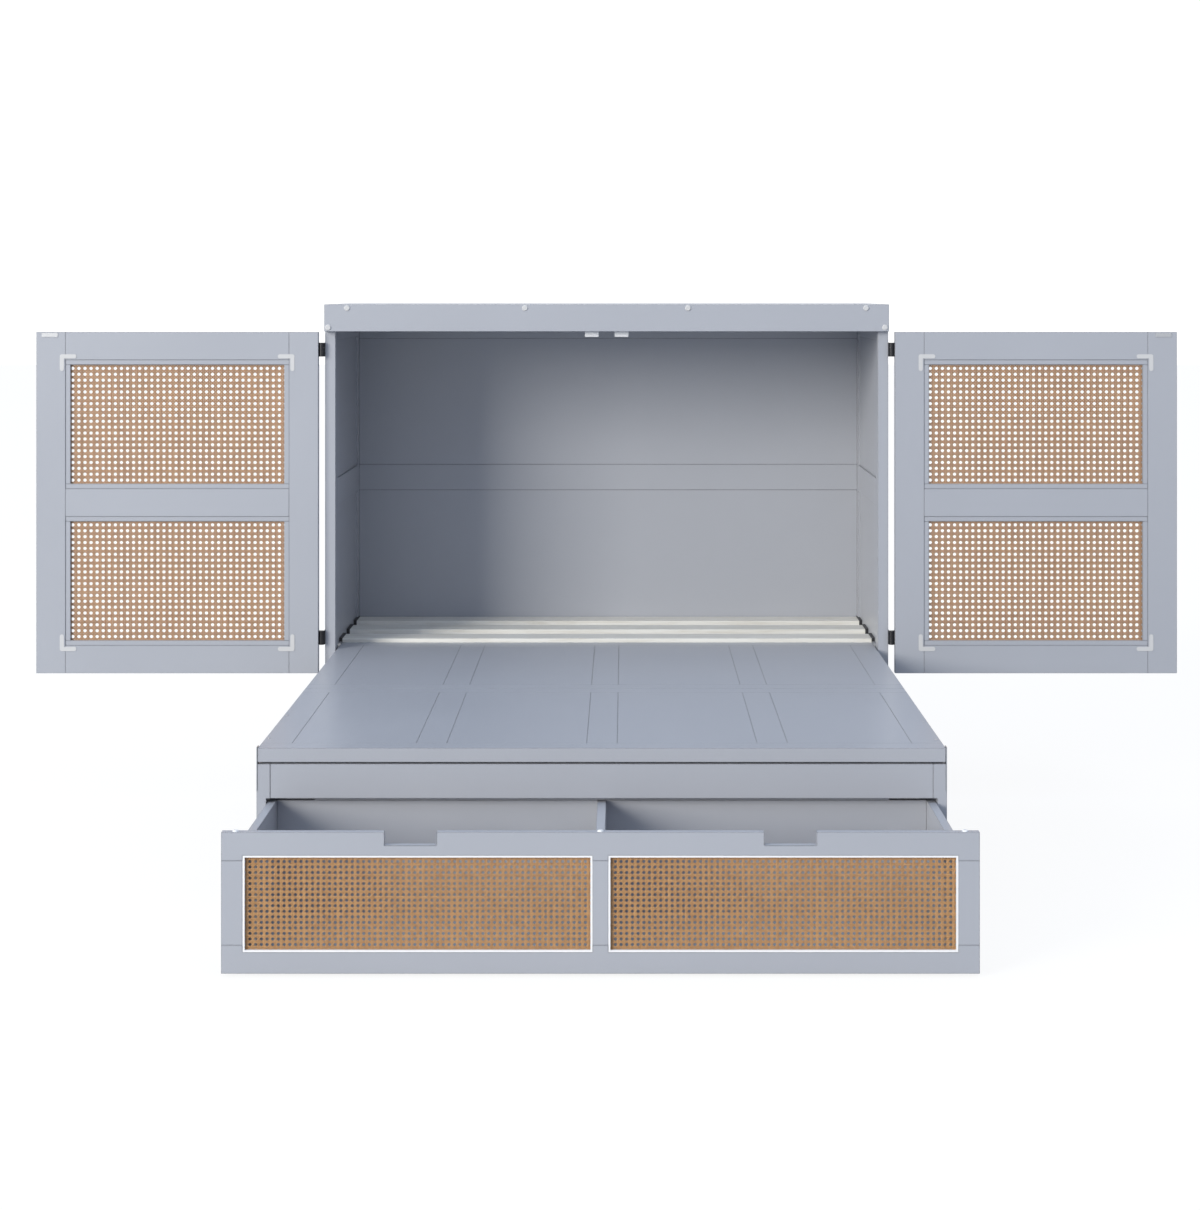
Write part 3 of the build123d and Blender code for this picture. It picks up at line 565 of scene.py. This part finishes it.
def weave(name, low, high, first_hole, pitch, thickness, strand, seed):
    """An open cane weave between two corners in X and Z. A strand is that share of a pitch wide.

    Cells of the given pitch have their holes' centres at first_hole plus whole pitches. Upright
    and level pairs run along the cells' borders, with a height that is a cosine with a period
    of two cells, so that they pass over and under each other by turns. A slanted strip has a
    height that is a cosine with a period of one cell. It is highest where the slant the other
    way is lowest.
    """
    rng = np.random.default_rng(seed)
    (x0, y0, z0), (x1, y1, z1) = low, high
    (px, pz), (hx, hz) = pitch, first_hole
    middle_y = (y0 + y1) / 2
    lift = (y1 - y0 - thickness) / 2 - PANEL_PLAY
    margin_x, margin_z = px / 10, pz / 10
    left, bottom = hx - px / 2, hz - pz / 2
    columns = np.arange(math.floor((x0 - left) / px), math.ceil((x1 - left) / px) + 1)
    rows = np.arange(math.floor((z0 - bottom) / pz), math.ceil((z1 - bottom) / pz) + 1)
    pieces = []

    def pair(lines, samples, step, flat, tall):
        """Centre lines of the two strips of each pair, and their heights."""
        where = np.concatenate([lines - PAIR_SPREAD, lines + PAIR_SPREAD])
        turn = np.concatenate([np.cos(np.pi * lines), -np.cos(np.pi * lines)])
        along = np.clip(samples, *tall)
        height = turn[:, None] * np.cos(np.pi * samples) * thickness * PAIR_RISE
        keep = (where * step + flat[2] > flat[0]) & (where * step + flat[2] < flat[1])
        return where[keep], along, height[keep]

    halves = np.arange(rows[0] * 2, rows[-1] * 2 + 1) / 2
    where, along, height = pair(columns, halves, px, (x0 + margin_x, x1 - margin_x, left),
                                ((z0 - bottom) / pz, (z1 - bottom) / pz))
    upright = np.stack(np.broadcast_arrays(left + where[:, None] * px, middle_y - height,
                                           bottom + along * pz), -1)
    pieces.append(family(rng, upright, (0, 0, 1), strand * px, thickness))
    halves = np.arange(columns[0] * 2, columns[-1] * 2 + 1) / 2
    where, along, height = pair(rows, halves, pz, (z0 + margin_z, z1 - margin_z, bottom),
                                ((x0 - left) / px, (x1 - left) / px))
    level = np.stack(np.broadcast_arrays(left + along * px, middle_y + height,
                                         bottom + where[:, None] * pz), -1)
    pieces.append(family(rng, level, (1, 0, 0), strand * pz, thickness))

    quarters = np.arange(columns[0] * 4, columns[-1] * 4 + 1) / 4
    x_span = (x0 - left) / px, (x1 - left) / px
    z_span = (z0 - bottom) / pz, (z1 - bottom) / pz
    for slant in (1, -1):
        spread = np.array([rows[0] - slant * columns[0], rows[0] - slant * columns[-1],
                           rows[-1] - slant * columns[0], rows[-1] - slant * columns[-1]])
        offset = np.arange(spread.min(), spread.max() + 1)[:, None] + 0.5
        ends = np.sort(np.stack([slant * (z_span[0] - offset), slant * (z_span[1] - offset)]), 0)
        start = np.maximum(ends[0], x_span[0] + SLANT_INSET)
        stop = np.minimum(ends[1], x_span[1] - SLANT_INSET)
        inside = (stop - start > SHORTEST_SLANT)[:, 0]
        x = np.clip(quarters[None, :], start[inside], stop[inside])
        z = slant * x + offset[inside]
        height = slant * np.cos(2 * np.pi * x) * lift
        centres = np.stack([left + x * px, middle_y - height, bottom + z * pz], -1)
        ahead = np.array([px, 0, slant * pz]) / math.hypot(px, pz)
        pieces.append(family(rng, centres, ahead, strand * (px + pz) / 2, thickness))

    return join(name, pieces)


def cane_piece(name, mesh, material, body, node):
    """Puts a weave in the scene, in the place of a CAD node."""
    mesh.materials.append(material)
    piece = bpy.data.objects.new(name, mesh)
    bpy.context.scene.collection.objects.link(piece)
    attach(piece, body)
    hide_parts(node)


print(f"the strips of a pair lie {2 * PAIR_SPREAD:.2f} cells apart")

# %% [markdown]
# ## Cane of the doors
#
# Each door has two cane panels, held behind a bead. The bead hides the panel's border, so the
# weave stops a little inside the CAD panel. The pitch and the place of the first hole, in
# shares of a pitch from the bead's inner edge, were measured against the portrait.

# %% Door cane
DOOR_PITCH = 0.0175, 0.01693
DOOR_FIRST_HOLE = 0.27, 0.6
DOOR_BEAD_REACH = 0.014
HIDDEN_BY_DOOR_BEAD = 0.009
DOOR_STRIP, DOOR_STRAND = 0.0008, 0.178
DOOR_SEEDS = {"lower": 11, "upper": 12}

for side in ("left", "right"):
    for level, seed in DOOR_SEEDS.items():
        node = f"{side}_door_{level}_cane"
        low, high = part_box(node)
        low, high = low.copy(), high.copy()
        seen_left, seen_bottom = low.x + DOOR_BEAD_REACH, low.z + DOOR_BEAD_REACH
        for corner, sign in ((low, 1), (high, -1)):
            corner.x += sign * HIDDEN_BY_DOOR_BEAD
            corner.z += sign * HIDDEN_BY_DOOR_BEAD
        first = (seen_left + DOOR_FIRST_HOLE[0] * DOOR_PITCH[0],
                 seen_bottom + DOOR_FIRST_HOLE[1] * DOOR_PITCH[1])
        mesh = weave(f"{side}_door_{level}_weave", low, high, first, DOOR_PITCH,
                     DOOR_STRIP, DOOR_STRAND, seed)
        cane_piece(f"{side}_door_{level}_weave", mesh, door_cane, f"{side}_door", node)

# %% [markdown]
# ## Cane of the drawer
#
# The drawer's front has two fields of a finer cane, on both sides of a middle board. They are
# see-through, and the shade inside the drawer darkens their holes. In the CAD model both
# fields are one node, so both pieces stand for it.

# %% Drawer cane
DRAWER_PITCH = 0.01219, 0.01187
DRAWER_FIRST_HOLE = 0.89, 0.857
DRAWER_BEAD_REACH = 0.0043
DRAWER_PLAY = 0.0005
DRAWER_STRIP, DRAWER_STRAND, DRAWER_SEED = 0.0007, 0.185, 21
MIDDLE_GAP = 0.034

low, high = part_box("drawer_front_cane")
for label, x0, x1 in (("left", low.x, -MIDDLE_GAP / 2), ("right", MIDDLE_GAP / 2, high.x)):
    corner_a = x0 + DRAWER_PLAY, low.y, low.z + DRAWER_PLAY
    corner_b = x1 - DRAWER_PLAY, high.y, high.z - DRAWER_PLAY
    first = (x0 + DRAWER_BEAD_REACH + DRAWER_FIRST_HOLE[0] * DRAWER_PITCH[0],
             low.z + DRAWER_BEAD_REACH + DRAWER_FIRST_HOLE[1] * DRAWER_PITCH[1])
    mesh = weave(f"drawer_{label}_weave", corner_a, corner_b, first, DRAWER_PITCH,
                 DRAWER_STRIP, DRAWER_STRAND, DRAWER_SEED)
    cane_piece(f"drawer_{label}_weave", mesh, drawer_cane, "drawer", "drawer_front_cane")

# %% [markdown]
# ## Finishes on the CAD boards
#
# Each CAD node has the right shape already, so it keeps its mesh and only gets a finish.

# %% Finishes
finishes = {
    "grey_blue_paint": grey_blue, "pale_slat_wood": slat_wood, "cane": door_cane,
    "white_bead": white_bead, "pale_fittings": pale_fittings,
    "white_plastic": white_plastic, "black_plastic": black_plastic,
    "black_metal": black_metal, "steel": steel,
}
for node in nodes.values():
    for place in node.material_slots:
        slot_name = place.material.name.split(".")[0]
        place.material = finishes[slot_name]
print(f"finishes on {len(nodes)} nodes")
